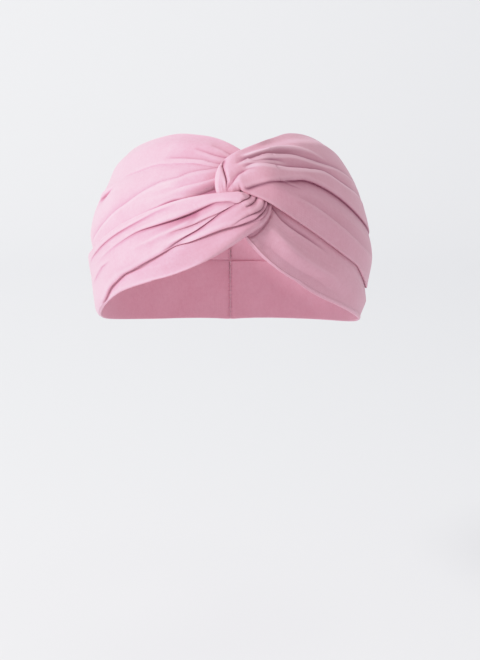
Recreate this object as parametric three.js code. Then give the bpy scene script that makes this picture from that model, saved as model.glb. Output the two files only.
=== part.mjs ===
// Turban headband: two gathered jersey strips. Each strip runs from the back seam to the forehead, folds
// round the other strip in a twist, and runs back to the seam. Millimetres, +Z up, the front faces -Y.
import * as THREE from "three";

// Egg-shaped head that the band is stretched over, as half-axes
const HEAD = { halfWidth: 77, halfDepth: 95, crown: 82, nape: 130 };

// Double jersey wall: the thickness at a folded edge and in a crease, how far an edge takes to swell, and the
// share of the strip's width over which a raised inner edge comes down to the head
const CLOTH = { foldedEdge: 1.1, leastWall: 0.9, edgeSwell: 6, comesDown: 0.45 };

// A pleat lies downwards: a short drop under its ridge, then a long slope up to the next ridge
const PLEAT = { drop: 0.7, slope: 5.5, ridgeReach: 1.4, slopeReach: 2.6 };

// Stations between two rows of a section table, on the plain rows next to the seam and on the others
const STEPS = { plain: 4, twist: 3, plainRows: 3 };

// Grid lines across a strip: the share of its width between an edge and the next line of the outer face, the
// least share between two lines of that face, and the lines of the plain inner face
const GRID = {
  edge: 0.035,
  least: 0.004,
  inner: [0, 0.06, 0.15, 0.25, 0.36, 0.48, 0.6, 0.72, 0.84, 0.94, 1],
};

// One row for each section across a strip, from the back seam along the upper leg, round the turn in the
// twist, and back along the lower leg. Turn is degrees round the head from the middle of the forehead, rise
// is degrees up it from its widest level, lift is millimetres off the head, thick is the wall with its
// pleats, and tuck is how far the wall takes to swell from an inner edge that lies under the other leg.
// The inner edge lies along the middle of the band and the outer edge is its top or bottom edge.
const SECTION_COLUMNS = [
  "innerTurn", "innerRise", "outerTurn", "outerRise", "innerLift", "outerLift", "thick", "tuck",
];
const LEFT_SECTIONS = [
  [-179.9, -10.6, -179.9, 7.0, 0.4, 0.4, 1.5, 8],
  [-142, -9.2, -142, 17.0, 0.4, 0.4, 2.2, 8],
  [-106, -4.5, -106, 34.5, 0.6, 0.6, 3.2, 7],
  [-77, 2.0, -77, 49.0, 0.8, 0.8, 3.4, 7],
  [-50, 17.1, -50, 58.4, 0.6, 0.6, 3.3, 7],
  [-27, 26.2, -27, 60.0, 0.4, 0.4, 3.6, 8],
  [-12, 28.8, -8.5, 58.2, 0.4, 0.4, 4.0, 11],
  [2.6, 35.4, 6.4, 52.6, 0.4, 0.4, 3.2, 10],
  [4.4, 35.0, 14.0, 45.0, 0.4, 0.4, 3.0, 8],
  [4.7, 34.3, 17.0, 35.0, 1.0, 1.0, 2.8, 6],
  [4.7, 33.2, 17.4, 27.8, 2.6, 2.6, 2.8, 0],
  [4.4, 32.3, 13.2, 21.6, 4.8, 4.8, 3.8, 0],
  [2.2, 32.3, 6.8, 17.8, 5.0, 4.8, 4.2, 0],
  [-11, 31.6, -9, 9.0, 3.4, 2.2, 4.6, 0],
  [-27, 28.0, -27, 1.5, 2.2, 0.6, 4.6, 0],
  [-50, 17.8, -50, -4.6, 2.2, 0.8, 4.2, 0],
  [-77, 2.6, -78, -14.4, 2.4, 1.0, 3.0, 0],
  [-106, -4.0, -106, -20.8, 2.2, 0.8, 2.8, 0],
  [-142, -8.0, -142, -25.6, 2.0, 0.5, 2.2, 0],
  [-179.9, -9.4, -179.9, -27.7, 1.9, 0.4, 1.5, 0],
];
const RIGHT_SECTIONS = [
  [179.9, -12.4, 179.9, 7.0, 1.9, 0.4, 1.5, 0],
  [142, -11.6, 142, 18.5, 2.0, 0.5, 2.2, 0],
  [106, -10.2, 106, 38.5, 2.2, 0.6, 2.8, 0],
  [79, -7.4, 77, 53.6, 2.4, 0.5, 3.4, 0],
  [53, 5.4, 54, 58.8, 2.3, 0.4, 3.6, 0],
  [31, 20.0, 32, 57.0, 2.5, 1.2, 4.6, 0],
  [17, 28.4, 17, 52.6, 4.7, 4.5, 4.6, 0],
  [6.8, 32.6, 5.6, 49.2, 5.0, 4.8, 4.2, 0],
  [4.4, 33.8, -2.6, 45.2, 4.8, 4.8, 3.8, 0],
  [3.9, 33.5, -6.4, 39.8, 4.4, 4.6, 3.4, 0],
  [3.9, 32.6, -6.0, 33.8, 2.2, 2.6, 2.8, 0],
  [4.2, 31.6, -2.2, 27.6, 0.4, 0.4, 2.8, 6],
  [6.6, 30.8, 5.0, 18.6, 0.4, 0.4, 3.0, 8],
  [18.5, 30.2, 14.5, 8.6, 0.4, 0.4, 3.0, 10],
  [31, 21.4, 29, -1.0, 0.4, 0.4, 3.0, 8],
  [53, 6.6, 50, -8.2, 0.6, 0.6, 2.8, 8],
  [79, -6.5, 77, -15.6, 0.8, 0.8, 3.2, 7],
  [106, -9.3, 106, -21.5, 0.6, 0.6, 2.8, 7],
  [142, -10.7, 142, -25.6, 0.5, 0.5, 2.2, 7],
  [179.9, -11.5, 179.9, -27.7, 0.4, 0.4, 1.5, 7],
];

// One row for each crease along a strip: its place across the strip, 0 at the inner edge and 1 at the outer
// edge, at seven sections of the table above, and its depth on the upper and on the lower leg.
const CREASE_SECTIONS = {
  sideUpper: 3,
  midUpper: 5,
  knotUpper: 7,
  turn: 10,
  knotLower: 12,
  midLower: 14,
  sideLower: 16,
};
const CREASE_COLUMNS = [...Object.keys(CREASE_SECTIONS), "depthUpper", "depthLower"];
const LEFT_CREASES = [
  [0.16, 0.22, 0.30, 0.20, 0.22, 0.26, 0.36, 1.5, 2.4],
  [0.28, 0.38, 0.46, 0.44, 0.38, 0.46, 0.50, 1.4, 1.5],
  [0.52, 0.54, 0.57, 0.63, 0.53, 0.59, 0.66, 0.9, 1.0],
  [0.72, 0.70, 0.69, 0.79, 0.68, 0.71, 0.92, 0.8, 2.2],
];
const RIGHT_CREASES = [
  [0.32, 0.43, 0.10, 0.20, 0.14, 0.20, 0.28, 2.4, 1.2],
  [0.505, 0.58, 0.38, 0.42, 0.34, 0.36, 0.42, 1.6, 0.5],
  [0.645, 0.735, 0.63, 0.62, 0.55, 0.54, 0.58, 1.7, 0.5],
  [0.795, 0.88, 0.81, 0.80, 0.76, 0.76, 0.78, 0.9, 0.4],
];

// Dusty pink stretch jersey
const JERSEY = { color: 0xd99dae, roughness: 0.75, metalness: 0 };

// Rows under their column names
function named(columns, rows) {
  return rows.map((row) => Object.fromEntries(columns.map((name, i) => [name, row[i]])));
}

// Smooth curve through a column of values, at a place between its rows
function along(values, place) {
  const last = values.length - 1;
  const i = Math.min(Math.floor(place), last - 1);
  const f = place - i;
  const at = (k) => values[Math.max(0, Math.min(last, k))];
  const [a, b, c, d] = [at(i - 1), at(i), at(i + 1), at(i + 2)];
  return 0.5 * (2 * b + (c - a) * f + (2 * a - 5 * b + 4 * c - d) * f * f + (3 * b - a - 3 * c + d) * f ** 3);
}

// Smooth step from 0 to 1
function ease(x) {
  const f = Math.max(0, Math.min(1, x));
  return f * f * (3 - 2 * f);
}

// Point off the head at an angle round it and up it
function onHead(turn, rise, lift) {
  const [t, r] = [THREE.MathUtils.degToRad(turn), THREE.MathUtils.degToRad(rise)];
  const up = r > 0 ? HEAD.crown : HEAD.nape;
  const foot = new THREE.Vector3(
    HEAD.halfWidth * Math.cos(r) * Math.sin(t),
    -HEAD.halfDepth * Math.cos(r) * Math.cos(t),
    up * Math.sin(r),
  );
  const outward = new THREE.Vector3(
    foot.x / HEAD.halfWidth ** 2, foot.y / HEAD.halfDepth ** 2, foot.z / up ** 2,
  ).normalize();
  return foot.addScaledVector(outward, lift);
}

// A strip of gathered jersey as a grid of sections
class Strip {
  constructor(sections, creases) {
    this.sections = named(SECTION_COLUMNS, sections);
    this.creases = named(CREASE_COLUMNS, creases);
    this.last = sections.length - 1;
  }

  // The section at a place along the strip
  section(place) {
    const row = {};
    for (const name of SECTION_COLUMNS) row[name] = along(this.sections.map((r) => r[name]), place);
    const [a, b] = [onHead(row.innerTurn, row.innerRise, 0), onHead(row.outerTurn, row.outerRise, 0)];
    row.width = a.distanceTo(b);
    // 1 on the upper leg, -1 on the lower leg
    const { knotUpper, knotLower } = CREASE_SECTIONS;
    row.lean = 1 - 2 * ease((place - knotUpper) / (knotLower - knotUpper));
    return row;
  }

  // The creases at a place along the strip, each with its place across and its depth there
  creasesAt(place, lean) {
    const keys = Object.entries(CREASE_SECTIONS);
    const fade = ease(Math.min(place, this.last - place) / CREASE_SECTIONS.sideUpper);
    return this.creases.map((crease) => {
      const at = keys.findIndex(([, section]) => section > place);
      const [lo, hi] = at < 0 ? [keys.at(-1), keys.at(-1)] : [keys[Math.max(0, at - 1)], keys[at]];
      const share = hi[1] === lo[1] ? 0 : ease((place - lo[1]) / (hi[1] - lo[1]));
      return {
        across: THREE.MathUtils.lerp(crease[lo[0]], crease[hi[0]], share),
        depth: fade * THREE.MathUtils.lerp(crease.depthLower, crease.depthUpper, (lean + 1) / 2),
      };
    });
  }

  // Lift of the wall's inner face: the raised inner edge comes down to the head across the strip
  lift(row, across) {
    return row.outerLift + (row.innerLift - row.outerLift) * (1 - ease(across / CLOTH.comesDown));
  }

  // Thickness of the wall, swelling from its folded edges and cut by its creases
  wall(row, creases, across) {
    const edge = Math.min(across, 1 - across) * row.width;
    const rounded = Math.sqrt(1 - (1 - Math.min(1, edge / CLOTH.edgeSwell)) ** 2);
    const tucked = row.tuck > 0 ? ease((across * row.width) / row.tuck) : 1;
    const swell = Math.min(rounded, tucked);
    let wall = CLOTH.foldedEdge + (row.thick - CLOTH.foldedEdge) * swell;
    for (const { across: place, depth } of creases) {
      const off = (across - place) * row.width * row.lean;
      const reach = THREE.MathUtils.lerp(PLEAT.slope, PLEAT.drop, ease(off * Math.abs(row.lean) + 0.5));
      wall -= depth * Math.exp(-Math.abs(off) / reach) * swell;
    }
    return Math.max(CLOTH.leastWall, wall);
  }

  // Places across the strip where the outer face has its grid lines: edges, ridges, creases and slopes
  outerLines(row, creases) {
    const lines = [0, GRID.edge];
    const inward = (row.lean > 0 ? PLEAT.slopeReach : PLEAT.ridgeReach) / row.width;
    const outward = (row.lean > 0 ? PLEAT.ridgeReach : PLEAT.slopeReach) / row.width;
    creases.forEach(({ across }, i) => {
      const before = i ? creases[i - 1].across : 0;
      lines.push((before + across) / 2, across - inward, across, across + outward);
    });
    lines.push((creases.at(-1).across + 1) / 2, 1 - GRID.edge, 1);
    for (let i = 1; i < lines.length; i++) {
      lines[i] = Math.max(lines[i], lines[i - 1] + GRID.least);
    }
    for (let i = lines.length - 1; i > 0; i--) {
      lines[i] = Math.min(lines[i], 1 - GRID.least * (lines.length - 1 - i));
    }
    return lines;
  }
}

// Closed solid of a strip: a ring of points for each station, skinned and capped at the seam
function stripGeometry(strip) {
  const rings = [];
  for (let i = 0; i < strip.last; i++) {
    const fromSeam = Math.min(i, strip.last - 1 - i);
    const steps = fromSeam < STEPS.plainRows ? STEPS.plain : STEPS.twist;
    for (let k = 0; k < steps; k++) rings.push(ring(strip, i + k / steps));
  }
  rings.push(ring(strip, strip.last));
  const count = rings[0].points.length;
  const points = rings.flatMap((r) => r.points);
  const faces = [];
  for (let i = 0; i + 1 < rings.length; i++) {
    for (let k = 0; k < count; k++) {
      const [a, b] = [i * count + k, i * count + ((k + 1) % count)];
      faces.push(a, b, b + count, a, b + count, a + count);
    }
  }
  for (const i of [0, rings.length - 1]) {
    const cap = THREE.ShapeUtils.triangulateShape(rings[i].flat, []);
    for (const [a, b, c] of cap) faces.push(...(i ? [c, b, a] : [a, b, c]).map((k) => i * count + k));
  }
  const geometry = new THREE.BufferGeometry();
  geometry.setAttribute("position", new THREE.Float32BufferAttribute(points.flatMap((p) => p.toArray()), 3));
  geometry.setIndex(faces);
  return facingOut(geometry);
}

// The ring of points round one section, and the same ring laid flat
function ring(strip, place) {
  const row = strip.section(place);
  const creases = strip.creasesAt(place, row.lean);
  const outer = strip.outerLines(row, creases).map((across) => (
    { across, lift: strip.lift(row, across) + strip.wall(row, creases, across) }
  ));
  const inner = GRID.inner.map((across) => ({ across, lift: strip.lift(row, across) })).reverse();
  const round = [...outer, ...inner];
  return {
    points: round.map(({ across, lift }) => onHead(
      THREE.MathUtils.lerp(row.innerTurn, row.outerTurn, across),
      THREE.MathUtils.lerp(row.innerRise, row.outerRise, across),
      lift,
    )),
    flat: round.map(({ across, lift }) => new THREE.Vector2(across * row.width, lift)),
  };
}

// The geometry with every face turned outwards
function facingOut(geometry) {
  const [p, index] = [geometry.attributes.position, geometry.index];
  const [a, b, c] = [new THREE.Vector3(), new THREE.Vector3(), new THREE.Vector3()];
  let volume = 0;
  for (let i = 0; i < index.count; i += 3) {
    a.fromBufferAttribute(p, index.getX(i));
    b.fromBufferAttribute(p, index.getX(i + 1));
    c.fromBufferAttribute(p, index.getX(i + 2));
    volume += a.dot(b.cross(c));
  }
  if (volume < 0) index.array.reverse();
  geometry.computeVertexNormals();
  return geometry;
}

// One strip as a named mesh
function band(name, sections, creases) {
  const mesh = new THREE.Mesh(
    stripGeometry(new Strip(sections, creases)),
    new THREE.MeshStandardMaterial(JERSEY),
  );
  mesh.name = name;
  return mesh;
}

const headband = new THREE.Group();
headband.name = "turban_headband";
headband.add(band("left_band", LEFT_SECTIONS, LEFT_CREASES));
headband.add(band("right_band", RIGHT_SECTIONS, RIGHT_CREASES));

export default headband;
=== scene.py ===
"""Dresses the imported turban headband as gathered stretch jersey, in a pale studio.

The headband is two strips of doubled jersey. Each runs from the seam at the back of the head to the
forehead, turns round the other strip, and runs back to the seam. Lengths are millimetres, apart from the
studio's, which are metres.
"""

import logging
import math
from dataclasses import dataclass, field
from enum import Enum
from functools import partial
from typing import Any, NamedTuple

import bpy
import numpy as np
from mathutils import Euler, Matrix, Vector, noise


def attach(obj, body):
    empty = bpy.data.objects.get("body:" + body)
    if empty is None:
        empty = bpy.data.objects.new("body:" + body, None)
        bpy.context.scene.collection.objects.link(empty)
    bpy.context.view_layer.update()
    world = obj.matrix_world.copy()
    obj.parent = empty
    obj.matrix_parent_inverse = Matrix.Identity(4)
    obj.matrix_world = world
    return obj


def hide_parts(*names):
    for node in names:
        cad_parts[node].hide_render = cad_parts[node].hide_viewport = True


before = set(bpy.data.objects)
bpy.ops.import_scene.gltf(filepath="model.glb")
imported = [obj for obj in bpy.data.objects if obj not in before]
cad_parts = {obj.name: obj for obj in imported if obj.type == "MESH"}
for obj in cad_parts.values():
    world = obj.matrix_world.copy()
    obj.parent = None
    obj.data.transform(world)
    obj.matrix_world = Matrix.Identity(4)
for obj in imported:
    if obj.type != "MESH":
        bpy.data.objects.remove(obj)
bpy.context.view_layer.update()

MM = 0.001
BODY = "root"
CLOTH_UV = "cloth"
# Attribute with the share of painted shade in creases and gaps at each point of a strip
PAINTED_SHADE = "gather"
# Attribute with the strength of the painted highlight at each point of a strip
HIGHLIGHT = "crest"
# Points along and across a strip at which its sizes are worked out before its mesh is spaced
FINE_ALONG = 1200
FINE_ACROSS = 900
# Length of one band of the wave pattern at a scale of 1
WAVE = math.pi / 10
# Numbers of a mix's sockets for its two colours, and of the one for the mixed colour
MIX_FIRST = 6
MIX_SECOND = 7
MIX_COLOUR = 2
# Number of the view's curve that acts on all three colours
ALL_COLOURS = 3

log = logging.getLogger("headband")


def linear(colour: str) -> tuple[float, float, float, float]:
    """Turns an sRGB hex colour into linear values.

    Args:
        colour: Six hex digits after a hash sign.

    Returns:
        Red, green and blue from 0 to 1, and a full alpha.
    """
    parts = [int(colour[i : i + 2], 16) / 255 for i in (1, 3, 5)]
    light = [c / 12.92 if c <= 0.04045 else ((c + 0.055) / 1.055) ** 2.4 for c in parts]
    return (light[0], light[1], light[2], 1.0)


def ease(x: np.ndarray | float) -> np.ndarray | float:
    """Steps smoothly from 0 to 1 as x goes from 0 to 1."""
    f = np.clip(x, 0.0, 1.0)
    return f * f * (3.0 - 2.0 * f)


def through(at: np.ndarray, values: np.ndarray, x: np.ndarray) -> np.ndarray:
    """Reads a smooth curve through a few points.

    Args:
        at: Places of the points, rising.
        values: The curve's value at each point.
        x: Places to read it at; past its ends it stays level.

    Returns:
        The curve's values at x.
    """
    slopes = np.gradient(values, at)
    x = np.clip(x, at[0], at[-1])
    i = np.clip(np.searchsorted(at, x) - 1, 0, len(at) - 2)
    gap = at[i + 1] - at[i]
    f = (x - at[i]) / gap
    rise = values[i] * (1 + 2 * f) * (1 - f) ** 2 + values[i + 1] * f * f * (3 - 2 * f)
    return rise + gap * f * (1 - f) * (slopes[i] * (1 - f) - slopes[i + 1] * f)


def add_node(
    tree: bpy.types.NodeTree, kind: str, settings: dict[str, Any], inputs: dict[Any, Any]
) -> bpy.types.Node:
    """Adds a node with its settings, values and links.

    Args:
        tree: The tree that gets the node.
        kind: The node's type name.
        settings: Properties of the node.
        inputs: Input name or number, with an output socket to link or a value to set.

    Returns:
        The new node.
    """
    node = tree.nodes.new(kind)
    for name, value in settings.items():
        setattr(node, name, value)
    for key, value in inputs.items():
        if isinstance(value, bpy.types.NodeSocket):
            tree.links.new(value, node.inputs[key])
        else:
            node.inputs[key].default_value = value
    return node


def new_material(name: str) -> tuple[bpy.types.Material, bpy.types.Node, bpy.types.NodeSocket]:
    """Makes a material.

    Args:
        name: Its name.

    Returns:
        The material, its shader, and the socket with the place of each point.
    """
    made = bpy.data.materials.new(name)
    made.use_nodes = True
    place = add_node(made.node_tree, "ShaderNodeTexCoord", {}, {}).outputs["Object"]
    return made, made.node_tree.nodes["Principled BSDF"], place


def new_object(name: str, data: bpy.types.ID) -> bpy.types.Object:
    """Puts an object in the scene.

    Args:
        name: Its name.
        data: Its mesh, light or camera.

    Returns:
        The object.
    """
    made = bpy.data.objects.new(name, data)
    bpy.context.scene.collection.objects.link(made)
    return made


class Section(NamedTuple):
    """One row of a strip's table: a line across the strip, from its inner edge to its outer edge.

    Turn is degrees round the head from the middle of the forehead, and rise is degrees up it from its
    widest level. Lift is how far the wall's inner face is off the head, thick is the wall with its pleats,
    and tuck is how far the wall stays flat from an inner edge that lies under the other leg.
    """

    inner_turn: float
    inner_rise: float
    outer_turn: float
    outer_rise: float
    inner_lift: float
    outer_lift: float
    thick: float
    tuck: float


class Fold(Enum):
    """Form of a fold: a roll on one side of a crease, or a soft ridge with no crease."""

    INWARD = "lower layer on the inner side"
    OUTWARD = "lower layer on the outer side"
    RIDGE = "soft ridge, or a soft hollow where its height is negative"


@dataclass(frozen=True)
class Crease:
    """A crease where a roll of cloth meets the layer below it, or a ridge.

    The path gives the place along the strip in rows of its table, the place across it from 0 at the inner
    edge to 1 at the outer edge, and the depth or height there. The roll rounds down into the crease over
    its own width, and the layer below comes up again slowly over the slope.
    """

    name: str
    form: Fold
    path: tuple[tuple[float, float, float], ...]
    roll: float = 2.2
    slope: float = 6.0
    # How far the roll leans over the crease, as a share of its depth
    lip: float = 0.9
    # Rows over which the crease fades out at its ends
    fade: float = 0.35
    # Painted highlight along the top of the roll: the most it lies off the crease, its width, and how
    # strong it is
    highlight_off: float = 1.6
    highlight_width: float = 0.8
    highlight_amount: float = 0.3
    # Painted shade in the crease's gap: its half width on the roll, how many times further it reaches on
    # the lower layer, how dark it is, and the depth from which it is at its darkest
    gap: float = 0.6
    reach: float = 3.0
    dark: float = 1.0
    full_depth: float = 1.5
    # How steeply the lower layer leaves the crease, and how strongly the lip pushes
    layer_power: float = 1.4
    lip_gain: float = 4.0

    def line(self, place: np.ndarray) -> tuple[np.ndarray, np.ndarray]:
        """Reads the path.

        Args:
            place: Places along the strip.

        Returns:
            The crease's place across the strip and its depth, which fades out at both ends.
        """
        at, sideways, depth = np.array(self.path).T
        ends = ease((place - at[0]) / self.fade) * ease((at[-1] - place) / self.fade)
        return through(at, sideways, place), through(at, depth, place) * ends

    def below(self, off: np.ndarray) -> np.ndarray:
        """Turns distances from the crease positive on the lower layer and negative on the roll."""
        return off if self.form is Fold.OUTWARD else -off

    def fold(self, off: np.ndarray, depth: np.ndarray) -> tuple[np.ndarray, np.ndarray, np.ndarray]:
        """Works out what the crease does to the wall.

        Args:
            off: Millimetres from the crease to each point, positive towards the outer edge.
            depth: The crease's depth there.

        Returns:
            At each point, how much the crease takes off the wall, how much painted shade its gap gets from
            0, and how many millimetres across the strip its roll is pushed over it.
        """
        below = self.below(off)
        layer = np.exp(-((np.maximum(below, 0) / self.slope) ** self.layer_power))
        near = np.clip(1 + below / self.roll, 0, 1)
        cut = depth * np.where(below > 0, layer, 1 - np.sqrt(1 - near**2))
        reach = np.where(below > 0, self.reach * self.gap, self.gap)
        shade = self.dark * np.clip(depth / self.full_depth, 0, 1) * np.exp(-((below / reach) ** 2))
        push = self.lip * depth * self.lip_gain * near**2 * (1 - near)
        return cut, shade, self.below(push)

    def crest(self, off: np.ndarray, depth: np.ndarray) -> np.ndarray:
        """Works out the painted highlight along the top of the roll.

        Args:
            off: Millimetres from the crease to each point, positive towards the outer edge.
            depth: The crease's depth or the ridge's height there.

        Returns:
            How strong the painted highlight is at each point, from 0.
        """
        if self.form is not Fold.RIDGE:
            off = self.below(off) + min(self.roll, self.highlight_off)
        return self.highlight_amount * np.clip(depth, 0, 1) * np.exp(-((off / self.highlight_width) ** 2))

    def raised(self, off: np.ndarray, height: np.ndarray) -> np.ndarray:
        """Gives what a ridge of some height adds to the wall at points some way off its line."""
        return height * np.exp(-((off / self.slope) ** 2))


@dataclass(frozen=True)
class HeadForm:
    """Egg-shaped hollow for the wearer's head, as half-axes in millimetres."""

    half_width: float = 77.0
    half_depth: float = 95.0
    crown: float = 82.0
    nape: float = 130.0

    def point(self, turn: np.ndarray, rise: np.ndarray, lift: np.ndarray) -> np.ndarray:
        """Places points off the head.

        Args:
            turn: Degrees round the head.
            rise: Degrees up the head.
            lift: Millimetres off the head.

        Returns:
            Points in metres, with x, y and z in the last axis.
        """
        t, r = np.radians(turn), np.radians(rise)
        up = np.where(r > 0, self.crown, self.nape)
        sideways = self.half_width * np.cos(r) * np.sin(t)
        forward = -self.half_depth * np.cos(r) * np.cos(t)
        foot = np.stack([sideways, forward, up * np.sin(r)], -1)
        axes = np.stack([np.full_like(up, self.half_width), np.full_like(up, self.half_depth), up], -1)
        outward = foot / axes**2
        outward /= np.linalg.norm(outward, axis=-1, keepdims=True)
        return (foot + outward * np.asarray(lift)[..., None]) * MM


@dataclass(frozen=True)
class JerseyFinish:
    """Viscose stretch jersey, a fine single knit.

    It is smooth and matt, with a soft bloom of fibre ends at grazing angles and a slightly uneven dye. Its
    colour carries a painted highlight along the tops of tight rolls and painted shade in the creases.
    """

    name: str = "viscose_jersey_dusty_pink"
    face: str = "#D798A9"
    pale: str = "#DDA3B4"
    # Painted shade: a darker colour mixed into creases and the gaps beside rolls, where shade falls
    painted_shade_colour: str = "#A9637C"
    # Painted highlight on the tight top of a fold, and how much of it is mixed in
    crest: str = "#EABAC9"
    highlight_share: float = 0.9
    roughness: tuple[float, float] = (0.46, 0.60)
    ior: float = 1.47
    specular: float = 0.4
    sheen: float = 0.3
    sheen_roughness: float = 0.4
    sheen_tint: str = "#F6E3EC"
    mottle_mm: float = 16.0
    fleck_mm: float = 1.6
    # A wale of this knit is about 0.7 mm wide. It is drawn twice as wide so that it shows.
    wale_mm: float = 1.4
    course_mm: float = 1.1
    # Height of the knit's relief, and how strongly it shows
    relief_mm: float = 0.12
    relief: float = 0.3

    def material(self) -> bpy.types.Material:
        """Makes the cloth's material.

        Returns:
            A material that reads the strip's own cloth map, and its attributes for painted shade in creases
            and for a painted highlight on the tops of folds.
        """
        made, shader, place = new_material(self.name)
        tree = made.node_tree
        add = partial(add_node, tree)
        cloth = add("ShaderNodeUVMap", {"uv_map": CLOTH_UV}, {}).outputs["UV"]
        gather = add("ShaderNodeAttribute", {"attribute_name": PAINTED_SHADE}, {}).outputs["Fac"]
        highlight_amount = add("ShaderNodeAttribute", {"attribute_name": HIGHLIGHT}, {}).outputs["Fac"]
        grains = {"Vector": place, "Scale": 1 / (self.mottle_mm * MM), "Detail": 3.0, "Roughness": 0.55}
        mottle = add("ShaderNodeTexNoise", {}, grains).outputs["Fac"]
        grains = {"Vector": place, "Scale": 1 / (self.fleck_mm * MM), "Detail": 2.0, "Roughness": 0.6}
        fleck = add("ShaderNodeTexNoise", {}, grains).outputs["Fac"]
        uneven = add("ShaderNodeMath", {"operation": "ADD"}, {0: mottle, 1: fleck}).outputs[0]
        spread = {"Value": uneven, "From Min": 0.7, "From Max": 1.3}
        faded = add("ShaderNodeMapRange", {}, spread).outputs["Result"]
        # Painted highlight: a paler colour mixed in along the tops of tight folds and edges
        highlight_mix = add("ShaderNodeMath", {"operation": "MULTIPLY"}, {0: highlight_amount, 1: self.highlight_share}).outputs[0]
        colour: Any = linear(self.face)
        for share, tone in ((faded, self.pale), (gather, self.painted_shade_colour), (highlight_mix, self.crest)):
            mixed = {"Factor": share, MIX_FIRST: colour, MIX_SECOND: linear(tone)}
            colour = add("ShaderNodeMix", {"data_type": "RGBA"}, mixed).outputs[MIX_COLOUR]
        tree.links.new(colour, shader.inputs["Base Color"])
        low, high = self.roughness
        spread = {"Value": mottle, "From Min": 0.3, "From Max": 0.7, "To Min": low, "To Max": high}
        matt = add("ShaderNodeMapRange", {}, spread).outputs["Result"]
        tree.links.new(matt, shader.inputs["Roughness"])
        tree.links.new(self.knit(tree, cloth, fleck), shader.inputs["Normal"])
        shader.inputs["IOR"].default_value = self.ior
        shader.inputs["Specular IOR Level"].default_value = self.specular
        shader.inputs["Sheen Weight"].default_value = self.sheen
        shader.inputs["Sheen Roughness"].default_value = self.sheen_roughness
        shader.inputs["Sheen Tint"].default_value = linear(self.sheen_tint)
        return made

    def knit(
        self, tree: bpy.types.NodeTree, cloth: bpy.types.NodeSocket, fleck: bpy.types.NodeSocket
    ) -> bpy.types.NodeSocket:
        """Adds the relief of the knit: wales along the strip, courses across it and stray fibres.

        Args:
            tree: The material's node tree.
            cloth: The strip's cloth map, in metres along and across.
            fleck: Fine noise for the stray fibres.

        Returns:
            The bumped normal's socket.
        """
        add = partial(add_node, tree)
        bands = []
        for direction, size in (("Y", self.wale_mm), ("X", self.course_mm)):
            wave = {"Vector": cloth, "Scale": WAVE / (size * MM), "Distortion": 0.4, "Detail": 0.0}
            bands.append(add("ShaderNodeTexWave", {"bands_direction": direction}, wave).outputs["Fac"])
        loops = add("ShaderNodeMath", {"operation": "MULTIPLY"}, dict(enumerate(bands))).outputs[0]
        height = add("ShaderNodeMath", {"operation": "ADD"}, {0: loops, 1: fleck}).outputs[0]
        raised = {"Height": height, "Strength": self.relief, "Distance": self.relief_mm * MM}
        return add("ShaderNodeBump", {}, raised).outputs["Normal"]


@dataclass(frozen=True)
class ThreadFinish:
    """Spun polyester sewing thread, dyed to the cloth: a twisted yarn with a low gloss."""

    name: str = "spun_polyester_thread_pink"
    light: str = "#DDA3B6"
    dark: str = "#BE7F95"
    twist_mm: float = 0.5
    roughness: float = 0.5
    sheen: float = 0.2
    # Height of the twist's relief, and how strongly it shows
    relief_mm: float = 0.1
    relief: float = 0.4

    def material(self) -> bpy.types.Material:
        """Makes the thread's material.

        Returns:
            A material with the yarn's twist in colour and relief.
        """
        made, shader, place = new_material(self.name)
        tree = made.node_tree
        add = partial(add_node, tree)
        wave = {"Vector": place, "Scale": WAVE / (self.twist_mm * MM), "Distortion": 0.5}
        twist = add("ShaderNodeTexWave", {"bands_direction": "DIAGONAL"}, wave).outputs["Fac"]
        mixed = {"Factor": twist, MIX_FIRST: linear(self.dark), MIX_SECOND: linear(self.light)}
        dyed = add("ShaderNodeMix", {"data_type": "RGBA"}, mixed).outputs[MIX_COLOUR]
        tree.links.new(dyed, shader.inputs["Base Color"])
        raised = {"Height": twist, "Strength": self.relief, "Distance": self.relief_mm * MM}
        tree.links.new(add("ShaderNodeBump", {}, raised).outputs["Normal"], shader.inputs["Normal"])
        shader.inputs["Roughness"].default_value = self.roughness
        shader.inputs["Sheen Weight"].default_value = self.sheen
        return made


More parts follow.
